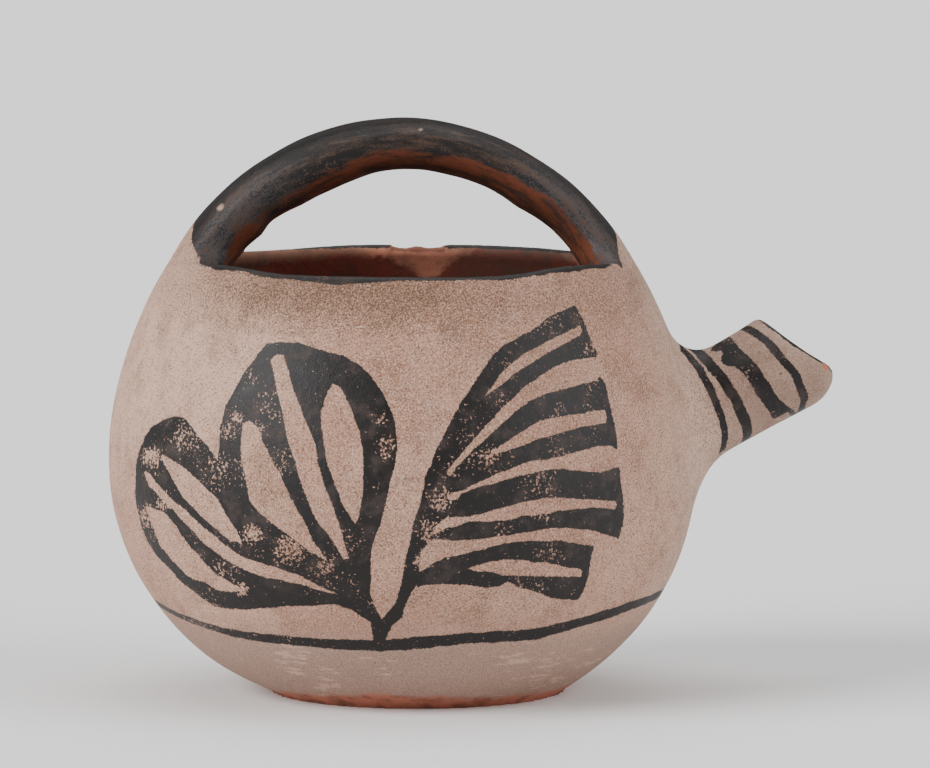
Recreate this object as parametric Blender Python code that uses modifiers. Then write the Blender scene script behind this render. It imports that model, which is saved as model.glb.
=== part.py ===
# Spouted pottery pitcher with a high arched handle: one hollow vessel of fired clay on a flat foot.
# Metres, +Z up. +X points to the spout and -Y to the painted front. The origin lies on the ground,
# on the axis that the body was turned about, inside the flat foot.

import math

import bmesh
import bpy
from mathutils import Matrix, Vector

# Body: the outer line runs from the foot, over the belly, to the shoulder of the rounded lip.
BELLY_RADIUS = 0.0891
BELLY_HEIGHT = 0.0696
FOOT_RADIUS = 0.0425
MOUTH_RADIUS = 0.0707
RIM_HEIGHT = 0.1310
WALL = 0.0052
FLOOR_THICKNESS = 0.0066
FOOT_SLOPE = math.radians(19.6)
MOUTH_SLOPE = math.radians(32.0)

# Fullness of the outer line, as shares of the height below and above the belly.
FOOT_FULLNESS = 0.35
BELLY_FULLNESS_BELOW = 0.50
BELLY_FULLNESS_ABOVE = 0.41
MOUTH_FULLNESS = 0.20

# The vessel was built by hand: its lowest part sits off the axis, towards the spout.
FOOT_OFFSET = 0.0025
FOOT_OFFSET_FADE = 0.004
LOWER_OFFSET = 0.0030
LOWER_OFFSET_FADE = 0.040

# Handle: an arch whose outer side is the circle through its crown and both sides of the mouth.
HANDLE_HEIGHT = 0.1737
HANDLE_THICKNESS = 0.0168
HANDLE_UNEVENNESS = 0.15
HANDLE_WIDTH = 0.026
HANDLE_ROOT_WIDTH = 0.060
HANDLE_ROOT_FLARE = 0.009
HANDLE_ROOT_DEPTH = 0.020
HANDLE_SQUARENESS = 2.3
HANDLE_HAUNCH_DIP = 0.0006

# Spout: a short tube that leaves the side at a slant and is cut off obliquely.
SPOUT_HEIGHT = 0.0837
SPOUT_RISE = math.radians(29.5)
SPOUT_LENGTH = 0.0380
SPOUT_WAIST_RADIUS = 0.0149
SPOUT_MOUTH_RADIUS = 0.0155
SPOUT_BORE_RADIUS = 0.0103
SPOUT_FILLET = 0.0108
SPOUT_LIP_FACING = math.radians(49.5)
SPOUT_LIP_ROLL = math.radians(6.0)
SPOUT_LIP_EDGE = 0.0012
SPOUT_CHIN = 0.0095

# Fineness of the solids, and of the line and the searches that they are worked out with.
BODY_STEPS = 72
LOWER_POINTS = 11
UPPER_POINTS = 11
LIP_POINTS = 5
HANDLE_STATIONS = 40
HANDLE_SIDES = 20
SPOUT_SIDES = 28
FILLET_RINGS = 4
TUBE_RINGS = 3
CHIN_RINGS = 5
CAP_RINGS = 2
FINE_POINTS = 120
SEARCH_HALVINGS = 40
LEAST_RISE = 0.0005

# How deep, as a share of the wall, the roots of the handle and the spout reach into the body, and
# how many times sooner than its inner side the handle's outer side gets there.
ROOT_SINK = 0.45
HANDLE_ROOT_SINKING = 3.0

CLAY_COLOUR = (0.50, 0.39, 0.32, 1.0)
CLAY_ROUGHNESS = 0.8
MERGE_DISTANCE = 0.00001


def bezier(start, start_pull, end_pull, end, count):
    """Points of a cubic curve, from its start to just before its end."""
    points = []
    for step in range(count):
        t = step / count
        u = 1.0 - t
        points.append(start * u ** 3 + start_pull * 3 * u * u * t + end_pull * 3 * u * t * t + end * t ** 3)
    return points


def outer_line(lower_count=LOWER_POINTS, upper_count=UPPER_POINTS):
    """The body's outer line from the foot to the shoulder of the lip, as (radius, height)."""
    shoulder_height = RIM_HEIGHT - WALL / 2 * (1 - math.sin(MOUTH_SLOPE))
    rise_above = shoulder_height - BELLY_HEIGHT
    foot = Vector((FOOT_RADIUS, 0.0))
    belly = Vector((BELLY_RADIUS, BELLY_HEIGHT))
    shoulder = Vector((MOUTH_RADIUS, shoulder_height))
    foot_pull = Vector((math.cos(FOOT_SLOPE), math.sin(FOOT_SLOPE))) * FOOT_FULLNESS * BELLY_HEIGHT
    below_pull = Vector((0.0, BELLY_FULLNESS_BELOW * BELLY_HEIGHT))
    above_pull = Vector((0.0, BELLY_FULLNESS_ABOVE * rise_above))
    mouth_pull = Vector((math.sin(MOUTH_SLOPE), -math.cos(MOUTH_SLOPE))) * MOUTH_FULLNESS * rise_above
    lower = bezier(foot, foot + foot_pull, belly - below_pull, belly, lower_count)
    upper = bezier(belly, belly + above_pull, shoulder + mouth_pull, shoulder, upper_count)
    return lower + upper + [shoulder]


def inward_normals(line):
    """Unit normals of a line that runs from the foot up, pointing into the vessel."""
    normals = []
    for index in range(len(line)):
        before = line[max(index - 1, 0)]
        after = line[min(index + 1, len(line) - 1)]
        along = (after - before).normalized()
        normals.append(Vector((-along.y, along.x)))
    return normals


def inner_line(outer):
    """The outer line moved in by the wall, cut off level at the top of the floor."""
    moved = [point + normal * WALL for point, normal in zip(outer, inward_normals(outer))]
    inner = []
    for below, above in zip(moved, moved[1:]):
        if below.y < FLOOR_THICKNESS <= above.y:
            share = (FLOOR_THICKNESS - below.y) / (above.y - below.y)
            inner.append(below.lerp(above, share))
        if above.y > FLOOR_THICKNESS + LEAST_RISE:
            inner.append(above)
    return inner


def wall_section():
    """Closed section of the wall: up the inside, over the round lip, and down the outside."""
    outer = outer_line()
    inner = inner_line(outer)
    lip_centre = (outer[-1] + inner[-1]) / 2
    arm = inner[-1] - lip_centre
    lip = []
    for step in range(1, LIP_POINTS):
        turn = -math.pi * step / LIP_POINTS
        lip.append(lip_centre + Matrix.Rotation(turn, 2) @ arm)
    floor_centre = Vector((0.0, FLOOR_THICKNESS))
    foot_centre = Vector((0.0, 0.0))
    return [floor_centre] + inner + lip + outer[::-1] + [foot_centre]


FINE_LINE = outer_line(FINE_POINTS, FINE_POINTS)


def body_radius(height):
    """Outer radius of the body at a height."""
    if height <= FINE_LINE[0].y:
        return FINE_LINE[0].x
    for below, above in zip(FINE_LINE, FINE_LINE[1:]):
        if below.y <= height < above.y:
            return below.x + (above.x - below.x) * (height - below.y) / (above.y - below.y)
    slope = (FINE_LINE[-1].x - FINE_LINE[-2].x) / (FINE_LINE[-1].y - FINE_LINE[-2].y)
    return FINE_LINE[-1].x + slope * (height - FINE_LINE[-1].y)


def sideways(height):
    """How far the hand-built vessel stands off its axis at a height."""
    foot_part = FOOT_OFFSET * math.exp(-max(height, 0.0) / FOOT_OFFSET_FADE)
    lower_part = LOWER_OFFSET * math.exp(-max(height, 0.0) / LOWER_OFFSET_FADE)
    return foot_part + lower_part


def smooth_step(value):
    value = min(max(value, 0.0), 1.0)
    return value * value * (3 - 2 * value)


def clear_scene():
    for item in list(bpy.data.objects):
        bpy.data.objects.remove(item, do_unlink=True)


def new_collection(name):
    group = bpy.data.collections.new(name)
    bpy.context.scene.collection.children.link(group)
    return group


def clay_material():
    material = bpy.data.materials.new("slipped_clay")
    material.use_nodes = True
    shader = material.node_tree.nodes["Principled BSDF"]
    shader.inputs["Base Color"].default_value = CLAY_COLOUR
    shader.inputs["Roughness"].default_value = CLAY_ROUGHNESS
    shader.inputs["Metallic"].default_value = 0.0
    return material


def lean_mesh(mesh):
    """Move each point of a mesh sideways, as the hand-built vessel stands."""
    for vertex in mesh.vertices:
        vertex.co.x += sideways(vertex.co.z)


def turned_body(collection):
    """The hollow body, turned from the section of its wall."""
    section = wall_section()
    mesh = bpy.data.meshes.new("pitcher_section")
    points = [(point.x, 0.0, point.y) for point in section]
    edges = [(index, index + 1) for index in range(len(points) - 1)]
    mesh.from_pydata(points, edges, [])
    turning = bpy.data.objects.new("pitcher_section", mesh)
    collection.objects.link(turning)
    screw = turning.modifiers.new("turn", "SCREW")
    screw.steps = BODY_STEPS
    screw.render_steps = BODY_STEPS
    screw.use_merge_vertices = True
    screw.merge_threshold = MERGE_DISTANCE
    bpy.context.view_layer.update()
    evaluated = turning.evaluated_get(bpy.context.evaluated_depsgraph_get())
    body_mesh = bpy.data.meshes.new_from_object(evaluated)
    bpy.data.objects.remove(turning, do_unlink=True)
    lean_mesh(body_mesh)
    body = bpy.data.objects.new("pitcher", body_mesh)
    collection.objects.link(body)
    return body


def loft(name, rings, collection):
    """Closed solid through rings of equally many points, capped with a fan at both ends."""
    bm = bmesh.new()
    loops = [[bm.verts.new(point) for point in ring] for ring in rings]
    sides = len(loops[0])
    for first, second in zip(loops, loops[1:]):
        for index in range(sides):
            after = (index + 1) % sides
            bm.faces.new((first[index], first[after], second[after], second[index]))
    for loop in (loops[0], loops[-1]):
        middle = bm.verts.new(sum((vert.co for vert in loop), Vector()) / sides)
        for index in range(sides):
            bm.faces.new((loop[index], loop[(index + 1) % sides], middle))
    bmesh.ops.recalc_face_normals(bm, faces=bm.faces)
    mesh = bpy.data.meshes.new(name)
    bm.to_mesh(mesh)
    bm.free()
    lean_mesh(mesh)
    solid = bpy.data.objects.new(name, mesh)
    collection.objects.link(solid)
    return solid


def handle_rings():
    """Oval sections along the arch, widening into roots that follow the round of the mouth."""
    shoulder_height = FINE_LINE[-1].y
    rise = HANDLE_HEIGHT - shoulder_height
    arch_radius = (MOUTH_RADIUS ** 2 + rise ** 2) / (2 * rise)
    centre_height = HANDLE_HEIGHT - arch_radius
    mouth_angle = math.atan2(MOUTH_RADIUS, shoulder_height - centre_height)
    root_angle = mouth_angle + HANDLE_ROOT_DEPTH / arch_radius

    def reach(angle):
        """Distance from the arch's centre to the body's outer surface."""
        near, far = 0.0, 2 * BELLY_RADIUS
        for _ in range(SEARCH_HALVINGS):
            middle = (near + far) / 2
            if middle * math.sin(angle) < body_radius(centre_height + middle * math.cos(angle)):
                near = middle
            else:
                far = middle
        return near

    rings = []
    for station in range(HANDLE_STATIONS + 1):
        angle = root_angle * (2 * station / HANDLE_STATIONS - 1)
        above_mouth = (mouth_angle - abs(angle)) * arch_radius
        flare = math.exp(-max(above_mouth, 0.0) / HANDLE_ROOT_FLARE)
        thickness = HANDLE_THICKNESS * (1 - HANDLE_UNEVENNESS * math.sin(angle))
        outer = arch_radius - HANDLE_HAUNCH_DIP * math.sin(math.pi * angle / mouth_angle) ** 2
        inner = outer - thickness
        if above_mouth < 0.0:
            wall_reach = reach(abs(angle))
            depth = -above_mouth / HANDLE_ROOT_DEPTH
            outer = wall_reach - ROOT_SINK * WALL * smooth_step(depth * HANDLE_ROOT_SINKING)
            inner = inner + (wall_reach - (1 - ROOT_SINK) * WALL - inner) * smooth_step(depth)
        half_width = (HANDLE_WIDTH + (HANDLE_ROOT_WIDTH - HANDLE_WIDTH) * flare) / 2
        middle = (outer + inner) / 2
        edge = outer - WALL / 2
        ring = []
        for side in range(HANDLE_SIDES):
            turn = 2 * math.pi * side / HANDLE_SIDES
            across = abs(math.cos(turn)) ** (2 / HANDLE_SQUARENESS) * math.copysign(1, math.cos(turn))
            along = abs(math.sin(turn)) ** (2 / HANDLE_SQUARENESS) * math.copysign(1, math.sin(turn))
            seam = middle + (edge - middle) * flare * along * along
            distance = seam + (outer - seam if across > 0 else seam - inner) * across
            y = half_width * along
            x = distance * math.sin(angle)
            x -= math.copysign(flare * (MOUTH_RADIUS - math.sqrt(MOUTH_RADIUS ** 2 - y * y)), angle)
            ring.append(Vector((x, y, centre_height + distance * math.cos(angle))))
        rings.append(ring)
    return rings


def spout_frame():
    """Where the spout's axis leaves the body, its direction, and the direction square to it."""
    start = Vector((body_radius(SPOUT_HEIGHT), 0.0, SPOUT_HEIGHT))
    along = Vector((math.cos(SPOUT_RISE), 0.0, math.sin(SPOUT_RISE)))
    upward = Vector((-math.sin(SPOUT_RISE), 0.0, math.cos(SPOUT_RISE)))
    return start, along, upward


def spout_rings():
    """Rings from inside the wall, out through the fillet and the tube, and round the lip."""
    start, along, upward = spout_frame()
    lip_slant = math.tan(SPOUT_LIP_FACING - SPOUT_RISE)
    lip_roll = math.tan(SPOUT_LIP_ROLL)

    def place(distance, turn, radius):
        outward = upward * math.cos(turn) + Vector((0.0, math.sin(turn), 0.0))
        return start + along * distance + outward * radius

    def surface(turn, radius):
        """Distance along the axis at which a line beside it crosses the body's outer surface."""
        near, far = -BELLY_RADIUS / 2, BELLY_RADIUS / 2
        for _ in range(SEARCH_HALVINGS):
            middle = (near + far) / 2
            point = place(middle, turn, radius)
            if math.hypot(point.x, point.y) < body_radius(point.z):
                near = middle
            else:
                far = middle
        return near

    def ring(radius_and_distance):
        points = []
        for side in range(SPOUT_SIDES):
            turn = 2 * math.pi * side / SPOUT_SIDES
            radius, distance = radius_and_distance(turn)
            points.append(place(distance, turn, radius))
        return points

    def root_ring(share):
        """Part of the disc that closes the root inside the wall."""
        radius = (SPOUT_WAIST_RADIUS + SPOUT_FILLET) * share
        return ring(lambda turn: (radius, surface(turn, radius) - ROOT_SINK * WALL))

    def fillet_ring(share):
        """Part of the round that leads from the body's side into the tube."""
        arc = math.pi / 2 * share
        radius = SPOUT_WAIST_RADIUS + SPOUT_FILLET * (1 - math.sin(arc))
        rise = SPOUT_FILLET * (1 - math.cos(arc))
        return ring(lambda turn: (radius, surface(turn, radius) + rise))

    def lip_distance(turn, radius):
        return SPOUT_LENGTH - lip_slant * radius * math.cos(turn) - lip_roll * radius * math.sin(turn)

    def chin(turn):
        """Radius of the round at the lip: a narrow edge at the top, a full round underneath."""
        return SPOUT_LIP_EDGE + (SPOUT_CHIN - SPOUT_LIP_EDGE) * max(-math.cos(turn), 0.0) ** 2

    def tube_ring(share):
        radius = SPOUT_WAIST_RADIUS + (SPOUT_MOUTH_RADIUS - SPOUT_WAIST_RADIUS) * share * share

        def station(turn):
            low = surface(turn, SPOUT_WAIST_RADIUS) + SPOUT_FILLET
            high = lip_distance(turn, SPOUT_MOUTH_RADIUS) - chin(turn)
            return radius, low + (high - low) * share

        return ring(station)

    def lip_ring(share):
        arc = math.pi / 2 * share

        def station(turn):
            radius = SPOUT_MOUTH_RADIUS - chin(turn) * (1 - math.cos(arc))
            return radius, lip_distance(turn, SPOUT_MOUTH_RADIUS) - chin(turn) * (1 - math.sin(arc))

        return ring(station)

    rings = [root_ring((index + 1) / (CAP_RINGS + 1)) for index in range(CAP_RINGS + 1)]
    rings += [fillet_ring(index / FILLET_RINGS) for index in range(FILLET_RINGS + 1)]
    rings += [tube_ring((index + 1) / TUBE_RINGS) for index in range(TUBE_RINGS)]
    rings += [lip_ring((index + 1) / CHIN_RINGS) for index in range(CHIN_RINGS)]
    return rings


def spout_bore(collection):
    """Cutter for the way through the spout, from inside the vessel to past the lip."""
    start, along, _ = spout_frame()
    inner_end = -(SPOUT_WAIST_RADIUS + SPOUT_FILLET + WALL)
    outer_end = SPOUT_LENGTH + 2 * SPOUT_MOUTH_RADIUS
    mesh = bpy.data.meshes.new("spout_bore")
    bm = bmesh.new()
    bmesh.ops.create_cone(
        bm, cap_ends=True, segments=SPOUT_SIDES,
        radius1=SPOUT_BORE_RADIUS, radius2=SPOUT_BORE_RADIUS, depth=outer_end - inner_end)
    bm.to_mesh(mesh)
    bm.free()
    bore = bpy.data.objects.new("spout_bore", mesh)
    bore.rotation_euler = (0.0, math.pi / 2 - SPOUT_RISE, 0.0)
    bore.location = start + along * (inner_end + outer_end) / 2
    collection.objects.link(bore)
    return bore


def add_boolean(target, tool, operation):
    tool.hide_render = True
    tool.display_type = "WIRE"
    boolean = target.modifiers.new(tool.name, "BOOLEAN")
    boolean.operation = operation
    boolean.solver = "EXACT"
    boolean.object = tool


def build():
    clear_scene()
    parts = new_collection("pottery_pitcher")
    tools = new_collection("joined_and_cut")
    body = turned_body(parts)
    body.data.materials.clear()
    body.data.materials.append(clay_material())
    body.data.shade_smooth()
    add_boolean(body, loft("handle_arch", handle_rings(), tools), "UNION")
    add_boolean(body, loft("spout_tube", spout_rings(), tools), "UNION")
    add_boolean(body, spout_bore(tools), "DIFFERENCE")


build()
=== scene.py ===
# Painted pottery pitcher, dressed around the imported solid. Lengths in metres unless a note says otherwise.
import math

import bpy
from mathutils import Matrix, Vector, noise


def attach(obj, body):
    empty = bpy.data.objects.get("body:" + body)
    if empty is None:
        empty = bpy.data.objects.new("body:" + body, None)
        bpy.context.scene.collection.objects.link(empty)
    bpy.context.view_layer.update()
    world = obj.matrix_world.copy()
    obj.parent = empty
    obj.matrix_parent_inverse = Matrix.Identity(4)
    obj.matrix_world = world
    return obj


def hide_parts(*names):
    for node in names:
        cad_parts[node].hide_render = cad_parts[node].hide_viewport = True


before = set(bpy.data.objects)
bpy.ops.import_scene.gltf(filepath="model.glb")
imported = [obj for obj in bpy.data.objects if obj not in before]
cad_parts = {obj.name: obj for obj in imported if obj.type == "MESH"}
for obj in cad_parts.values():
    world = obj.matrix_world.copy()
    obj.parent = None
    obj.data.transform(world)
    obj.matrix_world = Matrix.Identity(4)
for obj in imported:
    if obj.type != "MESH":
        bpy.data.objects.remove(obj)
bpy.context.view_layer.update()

print("Frame loaded:", sorted(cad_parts))


# Small helpers shared by all parts of the vessel

def easeStep(value):
    value = min(max(value, 0.0), 1.0)
    return value * value * (3 - 2 * value)


def readCurve(points, place):
    # straight-line reading of a list of (place, value) pairs
    if place <= points[0][0]:
        return points[0][1]
    for before, after in zip(points, points[1:]):
        if place <= after[0]:
            share = (place - before[0]) / (after[0] - before[0])
            return before[1] + (after[1] - before[1]) * share
    return points[-1][1]


def meshFromRings(name, rings):
    # closed solid through rings of equally many points, with a fan on each end
    sides = len(rings[0])
    points = [point for ring in rings for point in ring]
    faces = []
    for ringIndex in range(len(rings) - 1):
        here = ringIndex * sides
        there = here + sides
        for side in range(sides):
            after = (side + 1) % sides
            faces.append((here + side, here + after, there + after, there + side))
    for start, flip in ((0, True), ((len(rings) - 1) * sides, False)):
        middle = len(points)
        points.append(sum((Vector(points[start + side]) for side in range(sides)), Vector()) / sides)
        for side in range(sides):
            after = (side + 1) % sides
            edge = (start + after, start + side) if flip else (start + side, start + after)
            faces.append((edge[0], edge[1], middle))
    mesh = bpy.data.meshes.new(name)
    mesh.from_pydata([tuple(point) for point in points], [], faces)
    mesh.validate()
    volume = sum(face.center.dot(face.normal) * face.area for face in mesh.polygons) / 3
    if volume < 0:
        mesh.flip_normals()
    piece = bpy.data.objects.new(name, mesh)
    bpy.context.scene.collection.objects.link(piece)
    return piece


# The thrown body: outline, wall and rounded lip

bodyForm = {
    "bellyRadius": 0.0891,
    "bellyHeight": 0.0696,
    "footRadius": 0.0425,
    "mouthRadius": 0.0707,
    "rimHeight": 0.1310,
    "wall": 0.0052,
    "floor": 0.0066,
    "footSlope": math.radians(19.6),
    "mouthSlope": math.radians(32.0),
    "footFullness": 0.35,
    "bellyFullnessBelow": 0.50,
    "bellyFullnessAbove": 0.41,
    "mouthFullness": 0.20,
    "footShift": (0.0025, 0.004),       # how far the foot sits off the axis, and how soon that fades
    "lowerShift": (0.0030, 0.040),
    "steps": 192,
    "linePoints": 46,
    "lipPoints": 9,
}


def bezierPoints(start, startPull, endPull, end, count):
    points = []
    for step in range(count):
        t = step / count
        u = 1.0 - t
        points.append(start * u ** 3 + startPull * 3 * u * u * t + endPull * 3 * u * t * t + end * t ** 3)
    return points


def bodyOutline(count):
    form = bodyForm
    slope = form["mouthSlope"]
    shoulderHeight = form["rimHeight"] - form["wall"] / 2 * (1 - math.sin(slope))
    riseAbove = shoulderHeight - form["bellyHeight"]
    foot = Vector((form["footRadius"], 0.0))
    belly = Vector((form["bellyRadius"], form["bellyHeight"]))
    shoulder = Vector((form["mouthRadius"], shoulderHeight))
    footPull = Vector((math.cos(form["footSlope"]), math.sin(form["footSlope"])))
    footPull *= form["footFullness"] * form["bellyHeight"]
    belowPull = Vector((0.0, form["bellyFullnessBelow"] * form["bellyHeight"]))
    abovePull = Vector((0.0, form["bellyFullnessAbove"] * riseAbove))
    mouthPull = Vector((math.sin(slope), -math.cos(slope))) * form["mouthFullness"] * riseAbove
    lower = bezierPoints(foot, foot + footPull, belly - belowPull, belly, count)
    upper = bezierPoints(belly, belly + abovePull, shoulder + mouthPull, shoulder, count)
    return lower + upper + [shoulder]


def wallSection():
    # up the inside, over the round lip and down the outside, as (radius, height)
    wall, floor = bodyForm["wall"], bodyForm["floor"]
    outer = bodyOutline(bodyForm["linePoints"])
    moved = []
    for index, point in enumerate(outer):
        along = (outer[min(index + 1, len(outer) - 1)] - outer[max(index - 1, 0)]).normalized()
        moved.append(point + Vector((-along.y, along.x)) * wall)
    inner = []
    for below, above in zip(moved, moved[1:]):
        if below.y < floor <= above.y:
            inner.append(below.lerp(above, (floor - below.y) / (above.y - below.y)))
        if above.y > floor + 0.0005:
            inner.append(above)
    lipCentre = (outer[-1] + inner[-1]) / 2
    arm = inner[-1] - lipCentre
    lip = []
    for step in range(1, bodyForm["lipPoints"]):
        lip.append(lipCentre + Matrix.Rotation(-math.pi * step / bodyForm["lipPoints"], 2) @ arm)
    floorRings = [Vector((inner[0].x * share, floor)) for share in (0.02, 0.35, 0.7)]
    footRings = [Vector((outer[0].x * share, 0.0)) for share in (0.7, 0.35, 0.02)]
    return floorRings + inner + lip + outer[::-1] + footRings


fineOutline = bodyOutline(120)


def bodyRadiusAt(height):
    if height <= fineOutline[0].y:
        return fineOutline[0].x
    for below, above in zip(fineOutline, fineOutline[1:]):
        if below.y <= height < above.y:
            return below.x + (above.x - below.x) * (height - below.y) / (above.y - below.y)
    last, before = fineOutline[-1], fineOutline[-2]
    return last.x + (last.x - before.x) / (last.y - before.y) * (height - last.y)


def sidewaysAt(height):
    # the hand-built vessel stands a little off its own axis, most of all at the foot
    height = max(height, 0.0)
    (footShift, footFade), (lowerShift, lowerFade) = bodyForm["footShift"], bodyForm["lowerShift"]
    return footShift * math.exp(-height / footFade) + lowerShift * math.exp(-height / lowerFade)


def makeBody():
    section = wallSection()
    steps = bodyForm["steps"]
    rings = []
    for point in section:
        ring = []
        for step in range(steps):
            turn = 2 * math.pi * step / steps
            ring.append(Vector((point.x * math.cos(turn), point.x * math.sin(turn), point.y)))
        rings.append(ring)
    return meshFromRings("bodyWall", rings)


# The arched handle, with roots that follow the round of the mouth

handleForm = {
    "height": 0.1737,
    "width": 0.026,
    "rootWidth": 0.060,
    "rootFlare": 0.009,
    "rootDepth": 0.020,
    "squareness": 2.3,
    # millimetres that the upper side stands back from a true arch, by degrees from the crown
    "outerDip": [(-60, 0.2), (-45, 0.5), (-30, 0.6), (-15, 0.2), (0, 0.0), (15, 0.3), (30, 0.6),
                 (45, 0.5), (60, 0.2)],
    # thickness in millimetres, by degrees from the crown
    "thickness": [(-60, 17.6), (-49, 18.0), (-44, 18.6), (-40, 17.4), (-36, 18.0), (-30, 18.8), (-20, 18.6),
                  (-13, 18.0), (-7, 17.0), (-2, 16.6), (6, 16.2), (12, 16.3), (18, 16.0), (24, 15.9),
                  (30, 16.2), (34, 16.6), (39, 15.8), (45, 15.0), (60, 15.4)],
    # where the lengthwise crease runs, in millimetres below the upper side
    "creaseLine": [(-55, 4.0), (-49, 3.6), (-43, 2.6), (-30, 3.6), (-15, 3.4), (2, 2.4), (9, 2.1),
                   (18, 1.6), (31, 1.5), (42, 2.0), (55, 1.8)],
    "creaseDepth": 0.0007,
    "creaseWidth": 0.0013,
    "stations": 150,
    "sides": 72,
    "rootSink": 0.45,
    "rootSinking": 3.0,
}


def archGeometry():
    shoulderHeight = fineOutline[-1].y
    rise = handleForm["height"] - shoulderHeight
    radius = (bodyForm["mouthRadius"] ** 2 + rise ** 2) / (2 * rise)
    centreHeight = handleForm["height"] - radius
    mouthAngle = math.atan2(bodyForm["mouthRadius"], shoulderHeight - centreHeight)
    return radius, centreHeight, mouthAngle


def wallReach(angle, centreHeight):
    # distance from the arch's centre to the body's outer surface
    near, far = 0.0, 2 * bodyForm["bellyRadius"]
    for _ in range(40):
        middle = (near + far) / 2
        if middle * math.sin(angle) < bodyRadiusAt(centreHeight + middle * math.cos(angle)):
            near = middle
        else:
            far = middle
    return near


def makeHandle():
    form = handleForm
    wall, mouthRadius = bodyForm["wall"], bodyForm["mouthRadius"]
    radius, centreHeight, mouthAngle = archGeometry()
    rootAngle = mouthAngle + form["rootDepth"] / radius
    rings = []
    for station in range(form["stations"] + 1):
        angle = rootAngle * (2 * station / form["stations"] - 1)
        degrees = math.degrees(angle)
        aboveMouth = (mouthAngle - abs(angle)) * radius
        flare = math.exp(-max(aboveMouth, 0.0) / form["rootFlare"])
        outer = radius - readCurve(form["outerDip"], degrees) * 0.001
        inner = outer - readCurve(form["thickness"], degrees) * 0.001
        crease = outer - readCurve(form["creaseLine"], degrees) * 0.001
        if aboveMouth < 0.0:
            reach = wallReach(abs(angle), centreHeight)
            depth = -aboveMouth / form["rootDepth"]
            outer = reach - form["rootSink"] * wall * easeStep(depth * form["rootSinking"])
            inner += (reach - (1 - form["rootSink"]) * wall - inner) * easeStep(depth)
        halfWidth = (form["width"] + (form["rootWidth"] - form["width"]) * flare) / 2
        middle = (outer + inner) / 2
        edge = outer - wall / 2
        ring = []
        for side in range(form["sides"]):
            turn = 2 * math.pi * side / form["sides"]
            power = 2 / form["squareness"]
            across = math.copysign(abs(math.cos(turn)) ** power, math.cos(turn))
            along = math.copysign(abs(math.sin(turn)) ** power, math.sin(turn))
            seam = middle + (edge - middle) * flare * along * along
            distance = seam + (outer - seam if across > 0 else seam - inner) * across
            y = halfWidth * along
            # the crease that parts the upper side from the front and back sides
            dent = math.exp(-((distance - crease) / form["creaseWidth"]) ** 2) * (1 - flare)
            dent *= form["creaseDepth"] if y < 0 else form["creaseDepth"] * 0.5
            distance -= dent * max(across, 0.0)
            y -= math.copysign(dent * abs(along), y)
            x = distance * math.sin(angle)
            x -= math.copysign(flare * (mouthRadius - math.sqrt(mouthRadius ** 2 - y * y)), angle)
            ring.append(Vector((x, y, centreHeight + distance * math.cos(angle))))
        rings.append(ring)
    return meshFromRings("handleArch", rings)


# The short slanted spout, cut off obliquely

spoutForm = {
    "height": 0.0837,
    "rise": math.radians(29.5),
    "length": 0.0380,
    "waistRadius": 0.0152,
    "mouthRadius": 0.0158,
    "boreRadius": 0.0103,
    "fillet": 0.0108,
    "lipFacing": math.radians(49.5),
    "lipRoll": math.radians(6.0),
    "lipEdge": 0.0012,
    "chin": 0.0108,
    # unevenness of the lip in millimetres, by degrees round the spout from its top, front side
    "lipWaves": [(-180, 0.0), (-120, 0.2), (-60, -0.4), (0, 0.0), (30, -0.3), (60, -0.5), (85, -0.2),
                 (105, 0.5), (120, 0.6), (140, 0.1), (180, 0.0)],
    "sides": 96,
}


def spoutAxis():
    rise = spoutForm["rise"]
    start = Vector((bodyRadiusAt(spoutForm["height"]), 0.0, spoutForm["height"]))
    along = Vector((math.cos(rise), 0.0, math.sin(rise)))
    upward = Vector((-math.sin(rise), 0.0, math.cos(rise)))
    return start, along, upward


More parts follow.
